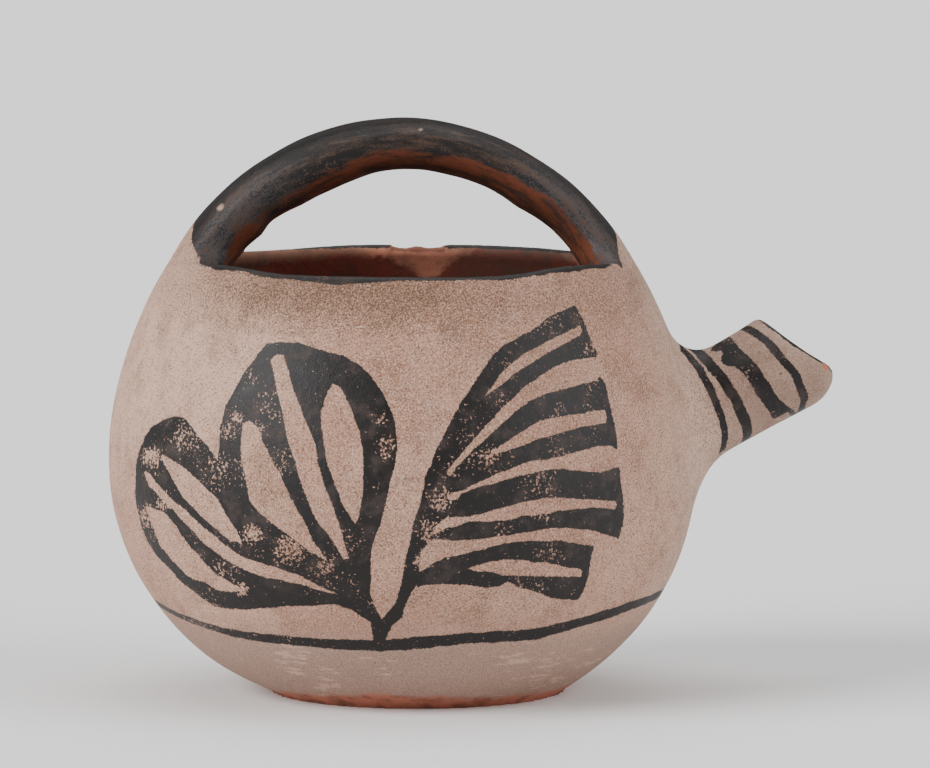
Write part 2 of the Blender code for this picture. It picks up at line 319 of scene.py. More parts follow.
def makeSpout():
    form = spoutForm
    wall = bodyForm["wall"]
    start, along, upward = spoutAxis()
    lipSlant = math.tan(form["lipFacing"] - form["rise"])
    lipRoll = math.tan(form["lipRoll"])
    sinking = handleForm["rootSink"] * wall

    def place(distance, turn, radius):
        outward = upward * math.cos(turn) + Vector((0.0, math.sin(turn), 0.0))
        return start + along * distance + outward * radius

    def surface(turn, radius):
        near, far = -bodyForm["bellyRadius"] / 2, bodyForm["bellyRadius"] / 2
        for _ in range(30):
            middle = (near + far) / 2
            point = place(middle, turn, radius)
            if math.hypot(point.x, point.y) < bodyRadiusAt(point.z):
                near = middle
            else:
                far = middle
        return near

    def lipDistance(turn, radius):
        fromTop = math.degrees(math.atan2(-math.sin(turn), math.cos(turn)))
        waves = readCurve(form["lipWaves"], fromTop) * 0.001
        slanted = form["length"] - lipSlant * radius * math.cos(turn)
        return slanted - lipRoll * radius * math.sin(turn) + waves

    def chin(turn):
        return form["lipEdge"] + (form["chin"] - form["lipEdge"]) * max(-math.cos(turn), 0.0) ** 2

    rings = []
    turns = [2 * math.pi * side / form["sides"] for side in range(form["sides"])]
    waist, mouth, fillet = form["waistRadius"], form["mouthRadius"], form["fillet"]
    for share in (0.1, 0.4, 0.7, 1.0):
        radius = (waist + fillet) * share
        rings.append([place(surface(turn, radius) - sinking, turn, radius) for turn in turns])
    for step in range(13):
        arc = math.pi / 2 * step / 12
        radius = waist + fillet * (1 - math.sin(arc))
        rise = fillet * (1 - math.cos(arc))
        rings.append([place(surface(turn, radius) + rise, turn, radius) for turn in turns])
    lows = [surface(turn, waist) + fillet for turn in turns]
    for step in range(1, 19):
        share = step / 18
        radius = waist + (mouth - waist) * share * share
        ring = []
        for turn, low in zip(turns, lows):
            high = lipDistance(turn, mouth) - chin(turn)
            ring.append(place(low + (high - low) * share, turn, radius))
        rings.append(ring)
    for step in range(1, 13):
        arc = math.pi / 2 * step / 12
        ring = []
        for turn in turns:
            softness = chin(turn)
            distance = lipDistance(turn, mouth) - softness * (1 - math.sin(arc))
            ring.append(place(distance, turn, mouth - softness * (1 - math.cos(arc))))
        rings.append(ring)
    return meshFromRings("spoutTube", rings)


def makeBore():
    form = spoutForm
    start, along, upward = spoutAxis()
    innerEnd = -(form["waistRadius"] + form["fillet"] + bodyForm["wall"])
    outerEnd = form["length"] + 2 * form["mouthRadius"]
    rings = []
    for step in range(9):
        distance = innerEnd + (outerEnd - innerEnd) * step / 8
        ring = []
        for side in range(form["sides"]):
            turn = 2 * math.pi * side / form["sides"]
            outward = upward * math.cos(turn) + Vector((0.0, math.sin(turn), 0.0))
            ring.append(start + along * distance + outward * form["boreRadius"])
        rings.append(ring)
    return meshFromRings("spoutBore", rings)


# Joining, softening and the unevenness of handwork

joining = {
    "voxel": 0.00130,
    "smoothing": 3,
    "innerShare": 0.12,                 # how much of the unseen inner wall's mesh is kept
    "unevenness": 0.00042,              # deepest hollow of the hand-smoothed surface
    "fineUnevenness": 0.00014,
    "handleLumps": 0.00055,
    # how far the lip stands below its full height in millimetres, by degrees from the front
    "rimDip": [(-180, 0.3), (-165, 0.5), (-150, 1.2), (-140, 1.2), (-125, 0.6), (-90, 0.3), (-72, -0.3),
               (-62, -1.1), (-50, -1.7), (-44, -1.4), (-38, -0.8), (-30, 0.0), (-20, 0.2), (0, 0.2),
               (15, 0.4), (25, 0.3), (32, -0.2), (38, -1.0), (45, -1.5), (52, -1.5), (60, -1.1),
               (70, -0.6), (80, 0.0), (90, 0.2), (130, 0.7), (140, 0.5), (160, 0.2), (180, 0.3)],
    # the chip in the back of the lip: millimetres along the back edge, and depth
    "chip": [(-3.6, 0.0), (-2.4, 1.1), (0.0, 1.9), (2.6, 1.6), (4.0, 1.0), (6.2, 1.1), (8.6, 1.7),
             (11.0, 1.4), (12.6, 1.2), (14.2, 0.0)],
}


def applyModifiers(piece):
    bpy.context.view_layer.update()
    evaluated = piece.evaluated_get(bpy.context.evaluated_depsgraph_get())
    mesh = bpy.data.meshes.new_from_object(evaluated)
    piece.modifiers.clear()
    old = piece.data
    piece.data = mesh
    bpy.data.meshes.remove(old)


def removePiece(piece):
    mesh = piece.data
    bpy.data.objects.remove(piece, do_unlink=True)
    bpy.data.meshes.remove(mesh)


def leanPiece(piece):
    for vertex in piece.data.vertices:
        vertex.co.x += sidewaysAt(vertex.co.z)


def joinClay():
    body, handle, spout, bore = makeBody(), makeHandle(), makeSpout(), makeBore()
    for piece in (body, handle, spout):
        leanPiece(piece)
    for tool, operation in ((handle, "UNION"), (spout, "UNION"), (bore, "DIFFERENCE")):
        boolean = body.modifiers.new(tool.name, "BOOLEAN")
        boolean.operation = operation
        boolean.solver = "EXACT"
        boolean.object = tool
    applyModifiers(body)
    for tool in (handle, spout, bore):
        removePiece(tool)
    remesh = body.modifiers.new("evenMesh", "REMESH")
    remesh.mode = "VOXEL"
    remesh.voxel_size = joining["voxel"]
    smooth = body.modifiers.new("softJoins", "SMOOTH")
    smooth.factor = 0.5
    smooth.iterations = joining["smoothing"]
    applyModifiers(body)
    return body


def innerWeight(point):
    # 1 well inside the vessel, 0 on the outside, the lip, the handle and the spout
    if point.z > bodyForm["rimHeight"] - 0.006 or point.x > bodyForm["bellyRadius"] - 0.004:
        return 0.0
    radius = math.hypot(point.x - sidewaysAt(point.z), point.y)
    inWall = bodyRadiusAt(point.z) - 0.62 * bodyForm["wall"]
    return 1.0 if radius < inWall and point.z > 0.5 * bodyForm["floor"] else 0.0


def roughen(piece):
    radius, centreHeight, _ = archGeometry()
    rim = bodyForm["rimHeight"]
    mesh = piece.data
    normals = [vertex.normal.copy() for vertex in mesh.vertices]
    for vertex, normal in zip(mesh.vertices, normals):
        point = vertex.co.copy()
        slow = noise.noise(point * 38.0) * 0.5 + 0.5
        middling = noise.noise(point * 95.0 + Vector((7.1, 3.3, 1.9))) * 0.5 + 0.5
        inward = joining["unevenness"] * slow + joining["fineUnevenness"] * middling
        if point.z > rim + 0.002:
            angle = math.atan2(point.x, point.z - centreHeight)
            reach = math.hypot(point.x, point.z - centreHeight)
            lump = noise.noise(Vector((angle * 4.5, point.y * 70.0, reach * 90.0)))
            inward += joining["handleLumps"] * (lump * 0.5 + 0.5) - joining["unevenness"] * 0.5 * slow
        flat = easeStep((point.z - 0.0005) / 0.003)
        vertex.co = point - normal * inward * flat
        across = math.hypot(point.x, point.y)
        if abs(point.z - rim) < 0.012 and abs(across - bodyForm["mouthRadius"] + 0.003) < 0.009:
            turn = math.degrees(math.atan2(point.x, -point.y))
            nearRim = easeStep((point.z - rim + 0.012) / 0.010)
            nearRim *= 1 - easeStep((point.z - rim) / 0.004)
            vertex.co.z -= readCurve(joining["rimDip"], turn) * 0.001 * nearRim
            if point.y > 0:
                top = rim - 0.0005 - readCurve(joining["chip"], point.x * 1000) * 0.001
                ragged = noise.noise(point * 900.0) * 0.00035
                if readCurve(joining["chip"], point.x * 1000) > 0 and vertex.co.z > top + ragged:
                    vertex.co.z = top + ragged
        if point.z < 0.0008 and normal.z < -0.5:
            vertex.co.z = 0.0
        vertex.co.z = max(vertex.co.z, 0.0)
    mesh.update()


def thinInnerWall(piece):
    group = piece.vertex_groups.new(name="innerWall")
    inner = [vertex.index for vertex in piece.data.vertices if innerWeight(vertex.co) > 0.5]
    group.add(inner, 1.0, "REPLACE")
    whole = len(piece.data.vertices)
    kept = (whole - len(inner) * (1 - joining["innerShare"])) / whole
    decimate = piece.modifiers.new("thinnerInside", "DECIMATE")
    decimate.ratio = kept
    decimate.vertex_group = group.name
    decimate.vertex_group_factor = 10.0
    applyModifiers(piece)
    piece.vertex_groups.clear()


pitcher = joinClay()
pitcher.name = "pitcherClay"
print("Clay joined:", len(pitcher.data.polygons), "faces")
roughen(pitcher)
thinInnerWall(pitcher)
pitcher.data.shade_smooth()
triangleCount = sum(len(face.vertices) - 2 for face in pitcher.data.polygons)
print("Clay smoothed and thinned:", triangleCount, "triangles")


# Nodes: short ways to place and join them

def addNode(tree, kind, **settings):
    node = tree.nodes.new(kind)
    for name, value in settings.items():
        setattr(node, name, value)
    return node


def feed(tree, socket, value):
    # a socket takes either another socket or a plain value
    if isinstance(value, bpy.types.NodeSocket):
        tree.links.new(value, socket)
    else:
        socket.default_value = value


def calc(tree, operation, first, second=None, third=None):
    node = addNode(tree, "ShaderNodeMath", operation=operation)
    for index, value in enumerate((first, second, third)):
        if value is not None:
            feed(tree, node.inputs[index], value)
    return node.outputs[0]


def plus(tree, first, second):
    return calc(tree, "ADD", first, second)


def minus(tree, first, second):
    return calc(tree, "SUBTRACT", first, second)


def times(tree, first, second):
    return calc(tree, "MULTIPLY", first, second)


def timesPlus(tree, value, factor, more):
    return calc(tree, "MULTIPLY_ADD", value, factor, more)


def sizeOf(tree, value):
    return calc(tree, "ABSOLUTE", value)


def vectorCalc(tree, operation, first, second):
    node = addNode(tree, "ShaderNodeVectorMath", operation=operation)
    feed(tree, node.inputs[0], first)
    if operation == "SCALE":
        feed(tree, node.inputs["Scale"], second)
    else:
        feed(tree, node.inputs[1], second)
    return node.outputs["Value"] if operation in ("DISTANCE", "LENGTH") else node.outputs[0]


def grade(tree, value, low, high, lowOut=0.0, highOut=1.0, kind="SMOOTHSTEP"):
    node = addNode(tree, "ShaderNodeMapRange", interpolation_type=kind, clamp=True)
    for name, setting in (("Value", value), ("From Min", low), ("From Max", high),
                          ("To Min", lowOut), ("To Max", highOut)):
        feed(tree, node.inputs[name], setting)
    return node.outputs[0]


def grain(tree, place, scale, detail=2.0, roughness=0.5, colour=False):
    node = addNode(tree, "ShaderNodeTexNoise")
    feed(tree, node.inputs["Vector"], place)
    node.inputs["Scale"].default_value = scale
    node.inputs["Detail"].default_value = detail
    node.inputs["Roughness"].default_value = roughness
    return node.outputs["Color"] if colour else node.outputs[0]


def blendColour(tree, share, first, second):
    node = addNode(tree, "ShaderNodeMix", data_type="RGBA", clamp_factor=True)
    feed(tree, node.inputs[0], share)
    feed(tree, node.inputs[6], first)
    feed(tree, node.inputs[7], second)
    return node.outputs[2]


def drawnCurve(tree, coordinate, points):
    # reads a drawn line: points are (place, value), both in the units of the coordinate
    starts, ends = points[0][0], points[-1][0]
    lowest = min(point[1] for point in points)
    height = max(max(point[1] for point in points) - lowest, 0.001)
    share = grade(tree, coordinate, starts, ends, kind="LINEAR")
    node = addNode(tree, "ShaderNodeFloatCurve")
    node.mapping.extend = "HORIZONTAL"
    curve = node.mapping.curves[0]
    scaled = [((place - starts) / (ends - starts), (value - lowest) / height) for place, value in points]
    curve.points[0].location = scaled[0]
    curve.points[-1].location = scaled[-1]
    for place, value in scaled[1:-1]:
        curve.points.new(place, value)
    for point in curve.points:
        point.handle_type = "VECTOR"
    node.mapping.update()
    feed(tree, node.inputs["Value"], share)
    return timesPlus(tree, node.outputs[0], height, lowest)


def insideBand(tree, along, crossing, low, high):
    # millimetres inside the strip between two drawn lines, below zero outside it
    aboveLow = minus(tree, crossing, drawnCurve(tree, along, low))
    belowHigh = minus(tree, drawnCurve(tree, along, high), crossing)
    return calc(tree, "MINIMUM", aboveLow, belowHigh)


def allOf(tree, values):
    result = values[0]
    for value in values[1:]:
        result = calc(tree, "MINIMUM", result, value)
    return result


def anyOf(tree, values):
    result = values[0]
    for value in values[1:]:
        result = calc(tree, "MAXIMUM", result, value)
    return result


def negative(tree, value):
    return times(tree, value, -1.0)


def blendValue(tree, share, first, second):
    node = addNode(tree, "ShaderNodeMix", data_type="FLOAT", clamp_factor=True)
    feed(tree, node.inputs[0], share)
    feed(tree, node.inputs[2], first)
    feed(tree, node.inputs[3], second)
    return node.outputs[0]


# Where the front drawing is seen from, in millimetres: how far off, how high, and the slope of the look
drawingView = {
    "distance": 2000.0,
    "height": 276.5,
    "level": 0.99554,                   # cosine and sine of the downward look
    "downward": 0.09433,
    "toAxis": 2008.96,                  # from the eye to the axis, along the look
    "middle": 86.25,                    # height given to the middle of the view
}

# The painted drawing, in millimetres across from the axis and up from the ground, as seen from the front

frontDrawing = {
    "leaves": {
        "along": "across",
        "low": [(-80.5, 60.9), (-80.1, 55.4), (-78.9, 50.6), (-76.8, 44.8), (-74.4, 40.9),
                (-71.9, 38.2), (-68.3, 34), (-63.8, 30), (-59.3, 26.7), (-56.5, 24.9), (-51.1, 24),
                (-46.6, 23.7), (-42, 24.3), (-33.6, 24.9), (-25.1, 25.2), (-19.1, 25.2), (-15.5, 24),
                (-11.8, 21.6), (-9.7, 20.7), (-9.3, 38.8), (-7.9, 46.1), (-6.4, 49.1), (-5.2, 53.9),
                (-3.7, 59.9), (-2.2, 66.6), (-1.1, 72.3)],
        "high": [(-80.5, 60.3), (-80.1, 67.5), (-78.9, 72.6), (-77.1, 76.3), (-75, 79.3), (-72.2, 81.1),
                 (-68.3, 82.3), (-65.6, 81.7), (-63.8, 79.9), (-61.7, 76.9), (-59, 73.8), (-56.8, 70.5),
                 (-55.3, 68.7), (-54.9, 77.5), (-54.1, 81.1), (-52.9, 85.3), (-50.8, 89.5),
                 (-48.4, 93.8), (-45.1, 98.6), (-42, 102.5), (-40.5, 104.3), (-36.6, 104.6),
                 (-31.2, 104.3), (-25.1, 102.5), (-17, 100.4), (-12.4, 97.7), (-8.8, 94.1),
                 (-5.8, 89.8), (-3.4, 85), (-1.6, 79.9), (-1.1, 71.7)],
    },
    "lowLeafSlitA": {
        "along": "across",
        "low": [(-72.8, 70.5), (-70.4, 66), (-68.3, 61.8), (-65.9, 57.8), (-63.8, 56), (-60.8, 52.7),
                (-57.7, 49.7), (-54.7, 47), (-51.7, 44.8), (-47.8, 43.6)],
        "high": [(-72.8, 69.9), (-71.9, 70.8), (-68.3, 68.7), (-63.8, 65.4), (-60.8, 62.4),
                 (-57.7, 59.6), (-55.3, 57.2), (-53.5, 53.6), (-51.7, 50.9), (-49.6, 47.9),
                 (-47.8, 43)],
    },
    "lowLeafSlitB": {
        "along": "across",
        "low": [(-78, 65.7), (-75.9, 61.2), (-72.8, 57.8), (-69.2, 54.5), (-66.2, 50.9), (-63.2, 47.9),
                (-59.3, 43.9), (-55.6, 40.9), (-51.7, 38.2), (-47.2, 35.8), (-42, 34), (-36.6, 32.8),
                (-30.6, 31.3), (-24.5, 29.7), (-17.9, 28.2)],
        "high": [(-78, 65.1), (-77.1, 66), (-75.3, 63.9), (-72.2, 60.2), (-69.2, 57.2), (-65.3, 53.9),
                 (-61.7, 50.6), (-57.7, 47.3), (-53.5, 43.3), (-48.7, 40.3), (-43.2, 38.2),
                 (-38.1, 36.7), (-32.1, 34.6), (-27.5, 32.2), (-21.5, 29.7), (-17.9, 27.6)],
    },
    "lowLeafSlitC": {
        "along": "across",
        "low": [(-77.4, 56), (-75.3, 49.7), (-72.8, 43.3), (-70.4, 40.3), (-67.4, 37), (-63.8, 33.7),
                (-59.3, 31.9), (-55.3, 29.7), (-51.7, 29.1), (-48.7, 29.7), (-45.4, 30.7)],
        "high": [(-77.4, 55.4), (-74.4, 54.2), (-71.3, 53.3), (-68.9, 50.6), (-66.8, 47.3),
                 (-63.8, 43.3), (-60.8, 40), (-58.3, 37), (-55.3, 34), (-51.7, 31.9), (-48.7, 30.7),
                 (-45.4, 30.1)],
    },
    "bigLeafSlitA": {
        "along": "up",
        "low": [(37.9, -21.5), (41.2, -27.5), (44.8, -31.8), (47.3, -35.4), (50.9, -40.2),
                (54.5, -43.9), (56.9, -45.7), (63, -46.9), (69, -48.1), (75, -48.5), (79.9, -47.8),
                (81.1, -45.4)],
        "high": [(37.9, -22.1), (41.2, -24.2), (44.8, -26.6), (50.3, -29.4), (54.5, -31.8),
                 (59.3, -34.2), (64.5, -36.6), (70.2, -39.6), (75, -42), (78.7, -43.2), (81.1, -46)],
    },
    "bigLeafSlitB": {
        "along": "up",
        "low": [(34.6, -14), (37.9, -16.7), (41.8, -18.8), (46.4, -21.8), (49.4, -24.5), (53.3, -26.9),
                (59.9, -29.4), (67.5, -31.8), (75, -34.2), (84.1, -36), (90.1, -37.5), (94.7, -38.4),
                (99.5, -39.3), (101, -36.9)],
        "high": [(34.6, -14.6), (39.4, -15.8), (44.8, -17.3), (50.9, -19.1), (56.9, -21.5),
                 (64.5, -24.2), (73.5, -26), (81.1, -28.8), (87.1, -31.2), (90.1, -32.4), (96.2, -34.2),
                 (100.4, -35.4), (101, -37.5)],
    },
    "bigLeafSlitC": {
        "along": "up",
        "low": [(48.8, -13.4), (52.4, -15.5), (55.4, -17.9), (59.9, -19.4), (66, -21.5), (72, -23),
                (78.1, -23.9), (83.5, -24.2), (87.1, -23.3), (90.1, -21.8), (92.6, -20.3)],
        "high": [(48.8, -14), (52.4, -12.7), (56.9, -12.1), (63, -11.5), (69, -11.5), (75, -12.1),
                 (79.6, -13.3), (85.6, -15.5), (90.8, -18.2), (92.6, -20.9)],
    },
    "leafTip": {
        "along": "up",
        "low": [(10.8, -5.8), (11.6, -8.2), (17.7, -8.8), (20.1, -9.1), (21.9, -12.1), (24.6, -15.5),
                (29.7, -14.9), (38.8, -18.5), (40.6, -12.4)],
        "high": [(10.8, -7), (11.6, -4.6), (20.7, -5.8), (23.4, -7.6), (26.7, -8.8), (29.7, -9.4),
                 (38.8, -9.1), (40.6, -13.6)],
    },
    "fanStem": {
        "along": "up",
        "low": [(10.8, -6), (11.6, -8.2), (20.4, -6.4), (22.2, -4.6), (25.5, -1.9), (31.3, -0.1),
                (38.2, 1.1), (44.8, 2.7), (49.4, 3.6), (54.5, 5.1), (59.9, 6.6), (63.6, 7.2),
                (68.4, 9.6), (69.6, 11.4)],
        "high": [(10.8, -7.2), (11.6, -5.2), (16.5, -4.3), (18.9, -2.8), (21.3, 0.2), (25.8, 1.4),
                 (29.1, 3), (31.9, 4.8), (35.8, 5.4), (41.2, 6), (45.8, 9.3), (50.9, 11.1),
                 (56.9, 11.7), (63.6, 14.7), (68.4, 11.7), (69.6, 10.2)],
    },
    "fan": {
        "along": "across",
        "low": [(3.6, 35.6), (4.5, 30.4), (7.2, 31), (11.7, 31.6), (16.2, 31.6), (20.8, 31),
                (25.3, 30.4), (29.8, 30.7), (32.3, 32.2), (34.4, 30.7), (37.4, 30), (41.9, 28.8),
                (45.5, 27.3), (49.5, 26.7), (53.4, 26.7), (54.9, 29.1), (56.4, 34), (57.3, 38.8),
                (58.2, 43), (58.8, 47.3), (60, 47), (63.1, 45.8), (65.9, 45.1), (67, 49.7),
                (67.4, 54.8)],
        "high": [(3.6, 34.4), (4.5, 38.8), (6.3, 56.9), (7.2, 61.8), (7.8, 65.4), (9.3, 68.7),
                 (10.5, 72), (12.6, 76), (15.3, 81.1), (17.8, 85.6), (20.8, 90.4), (23.8, 95),
                 (25.9, 98), (28.3, 101.3), (31.3, 103.7), (35.9, 106.2), (40.4, 108.9), (44.3, 111.9),
                 (48.9, 114), (52.5, 115.8), (53.7, 113.7), (55.5, 109.8), (57.6, 104.9), (59.3, 101.6),
                 (59.9, 94.7), (61.8, 91.4), (63.1, 85.6), (64.3, 79.6), (65.2, 74.7), (65.6, 69.6),
                 (66.1, 66.6), (66.7, 60.6), (67.4, 54.2)],
    },
    "fanGapA": {
        "along": "across",
        "low": [(12.9, 64.2), (14.7, 64.2), (17.2, 67.2), (20.2, 70.5), (23.8, 73.8), (27.4, 77.2),
                (30.7, 80.2), (34.4, 83.5), (38.9, 86.8), (43.4, 88.9), (48.6, 90.4), (54, 91.7),
                (59.1, 92.9), (60.6, 94.4)],
        "high": [(12.9, 63.6), (14.1, 66), (16.5, 68.7), (19.6, 72.3), (22.6, 76), (26.2, 79.9),
                 (29.8, 83.8), (33.5, 87.4), (37.4, 91.1), (41.9, 94.1), (46.4, 97.1), (51.6, 98.9),
                 (55.5, 99.5), (60.6, 100.1)],
    },
    "fanGapB": {
        "along": "across",
        "low": [(13.5, 57.8), (15.3, 56.6), (17.2, 57.2), (18.4, 58.7), (20.8, 59.9), (23.8, 60.9),
                (28.9, 62.1), (33.5, 63.6), (38.9, 64.8), (43.4, 65.7), (48.6, 66.3), (54, 65.7),
                (60, 65.4), (67, 66.9)],
        "high": [(13.5, 57.2), (15.3, 59), (18.4, 59.6), (20.8, 60.9), (25.3, 63), (29.8, 65.1),
                 (34.4, 66.9), (38.9, 68.4), (44.9, 69.3), (50.4, 70.5), (55.5, 72), (59.4, 73.2),
                 (63.1, 73.2), (67, 71.4)],
    },
    "fanGapC": {
        "along": "across",
        "low": [(5.1, 35.2), (6.9, 35.8), (10.2, 38.2), (13.2, 39.4), (17.8, 40.3), (22.3, 41.5),
                (26.8, 42.7), (31.3, 43.9), (37.4, 44.5), (43.4, 44.5), (48, 44.5), (52.5, 43.9),
                (59.1, 42.7), (60.6, 45.6)],
        "high": [(5.1, 41.2), (6.3, 43.3), (8.7, 44.5), (10.8, 45.1), (14.7, 44.8), (20.8, 44.8),
                 (26.8, 45.5), (32.9, 46.4), (38.9, 47.3), (44.9, 48.2), (51, 48.2), (56.4, 47.9),
                 (59.1, 47.3), (60.6, 44.4)],
    },
    "fanSlitA": {
        "along": "across",
        "low": [(24.7, 87.7), (29.8, 91.4), (33.5, 94.4), (36.5, 96.5), (40.4, 98.9), (44.9, 101.9),
                (51, 104.9), (54.3, 106.8), (54.9, 108.3)],
        "high": [(24.7, 87.1), (28.3, 92.3), (30.7, 95.6), (34.4, 98.9), (38.9, 101.9), (43.4, 104.3),
                 (49.5, 107.4), (54, 109.5), (54.9, 107.7)],
    },
    "fanSlitB": {
        "along": "across",
        "low": [(25.9, 70.2), (31.3, 71.7), (35.9, 73.2), (41, 75), (45.8, 76.6), (51, 78.1),
                (57, 79.6), (61.8, 80.2), (62.2, 82.3)],
        "high": [(25.9, 69.6), (29.8, 73.2), (33.5, 75.7), (37.4, 78.1), (41.9, 80.8), (46.4, 81.7),
                 (51.6, 82.6), (57, 83.5), (61.5, 84.1), (62.2, 81.7)],
    },
    "fanSlitC": {
        "along": "across",
        "low": [(10.8, 46.7), (14.1, 48.8), (16.2, 48.8), (20.8, 50.3), (26.8, 50.3), (31.3, 50.9),
                (35.9, 51.8), (41.9, 52.7), (48, 53.6), (54, 54.2), (60, 54.5), (64.6, 54.2),
                (65.2, 56)],
        "high": [(10.8, 49.7), (14.1, 51.8), (16.2, 51.8), (20.8, 51.8), (25.3, 53), (29.8, 54.5),
                 (34.4, 55.4), (38.9, 56.6), (43.4, 57.5), (48, 57.5), (54, 57.2), (60, 56.9),
                 (64.6, 56.6), (65.2, 55.4)],
    },
    "fanSlitD": {
        "along": "across",
        "low": [(19.3, 36.4), (23.2, 35.5), (26.8, 35.2), (31.3, 34.3), (35.9, 34), (44.9, 33.7),
                (49.5, 33.7), (54.3, 33.7), (54.6, 35.2)],
        "high": [(19.3, 35.8), (23.2, 37.3), (26.8, 38.2), (31.3, 38.8), (35.9, 38.8), (40.4, 38.2),
                 (44.9, 37.6), (49.5, 36.7), (54.3, 35.8), (54.6, 34.6)],
    },
}

# Hand-drawn lines elsewhere on the vessel: millimetres, by degrees round the axis from the front

bodyLines = {
    "ringHeight": [(-180, 26.0), (-150, 27.6), (-110, 28.4), (-74, 27.9), (-55, 25.4), (-44, 23.7),
                   (-31, 23.2), (-20, 22.8), (-5, 22.5), (14, 24.6), (32, 24.9), (46, 27.8), (60, 30.2),
                   (73, 30.9), (110, 30.2), (150, 27.2), (180, 26.0)],
    "ringHalfWidth": [(-180, 1.4), (-80, 1.1), (-50, 1.2), (-20, 1.6), (0, 1.9), (35, 1.85), (65, 1.5),
                      (90, 1.3), (180, 1.4)],
    "bareFoot": [(-180, 4.2), (-120, 3.6), (-70, 2.0), (-41, 3.6), (-17, 5.0), (-3, 5.6), (13, 4.6),
                 (36, 3.2), (52, 3.4), (62, 3.8), (90, 3.0), (140, 4.8), (180, 4.2)],
    "lip": [(-180, 129.2), (-125, 129.2), (-108, 129.6), (-104, 135), (-70, 135), (-65, 133.5),
            (-60, 131.7), (-57, 131.3), (-50, 130.6), (-45, 130.8), (-40, 130.6), (-35, 129.5),
            (-25, 129.1), (-20, 128.3), (-15, 128.1), (-10, 128.4), (-5, 129.0), (0, 129.3), (15, 129.3),
            (25, 129.1), (30, 129.4), (35, 129.8), (40, 130.3), (50, 130.6), (60, 130.6), (64, 131.0),
            (67, 132.0), (69.7, 133.5), (76, 135), (104, 135), (108, 129.6), (125, 129.2), (180, 129.2)],
    # how far in from the lip its black reaches, as millimetres from the axis
    "lipInner": [(-180, 65.5), (-80, 65.5), (-74, 57.0), (-54, 57.0), (-48, 65.5), (52, 65.5), (58, 60.0),
                 (74, 60.0), (80, 65.5), (180, 65.5)],
}

# Lines inside the mouth: heights in millimetres, by millimetres from left to right
insideLines = {
    # painted light: above this line the inside wall is lighter, as if lit through the mouth
    "paintedLightAbove": [(-66, 123), (-53, 124.5), (-31, 126), (-19, 126.2), (-14, 127), (-4.3, 126.6),
                     (-1.3, 124.4), (3, 121), (8, 118), (12, 121), (15, 123.2), (17.5, 126), (20, 128.4),
                     (26, 129.4), (49, 129.4), (54, 126), (58, 122), (66, 120)],
    "drippedAbove": [(-66, 140), (-36, 140), (-32, 129.2), (-28, 128.6), (-23, 140), (12, 140), (14, 129.3),
                     (28, 129.3), (33, 130.6), (37, 128.5), (45, 126.8), (52, 126.6), (55, 133), (66, 140)],
}

# Lines on the handle: millimetres below its upper side, by degrees from the crown
handleLines = {
    "bareUnderside": [(-62, 15.9), (-55, 15.4), (-51, 12.9), (-47, 12.7), (-42, 15.3), (-34, 15.9),
                      (-27, 15.4), (-23, 13.6), (-19, 12.6), (-12, 11.2), (-5, 9.8), (1, 9.8), (8, 10.2),
                      (20, 9.2), (28, 8.9), (36, 8.7), (44, 8.1), (50, 8.1), (54, 9.1), (62, 9.6)],
    "endDegrees": (51.8, 54.4),         # where the black ends on the left and right root, half way across
    "endSpread": 0.30,                  # degrees more for each millimetre to the front or back
    "endReach": (22.5, 26.6),           # millimetres to the front or back where it ends altogether
    "innerFrom": 7.5,                   # millimetres below the upper side where it ends later
    "innerLonger": 14.0,                # degrees later
    "footOfBlack": 128.6,
    "footInMouth": 9.0,                 # lower inside the mouth
}

# Bands round the spout: millimetres from the body, by degrees round from its top, and half width
spoutBands = [
    ([(0, 6.2), (12, 7.0), (45, 8.8), (82, 8.1), (108, 7.3), (136, 4.6), (154, 2.0)], 1.2),
    ([(0, 10.2), (16, 10.9), (62, 13.0), (95, 13.6), (134, 12.6), (163, 9.9), (190, 8.6)], 1.65),
    ([(0, 18.6), (40, 19.6), (72, 21.7), (98, 22.2), (125, 22.9), (147, 23.2)], 2.5),
    ([(0, 19.0), (98, 22.2), (120, 24.2), (150, 26.4), (190, 27.0)], 0.9),
    ([(0, 26.0), (7, 26.3), (50, 29.9), (80, 31.8), (107, 32.8), (139, 31.8), (153, 29.9),
      (170, 28.6)], 1.3),
]
# round marks on the spout and body: kind, place and radius in millimetres
roundMarks = [
    ("paint", (99.2, -11.0, 102.2), 3.5),
    ("paint", (95.8, -4.5, 104.8), 3.0),
    ("paint", (113.6, -14.6, 97.0), 0.7),
    ("bare", (96.4, -17.6, 75.6), 1.7),
    ("bare", (128.4, -13.2, 99.6), 2.2),
    ("bare", (130.0, -12.0, 95.4), 1.5),
    ("bare", (-21.6, -53.5, 6.6), 2.2),
    ("dust", (-54.6, -10.8, 147.6), 1.5),
    ("dust", (6.2, -9.9, 170.9), 0.9),
    ("dust", (10.4, -10.1, 170.3), 0.6),
]

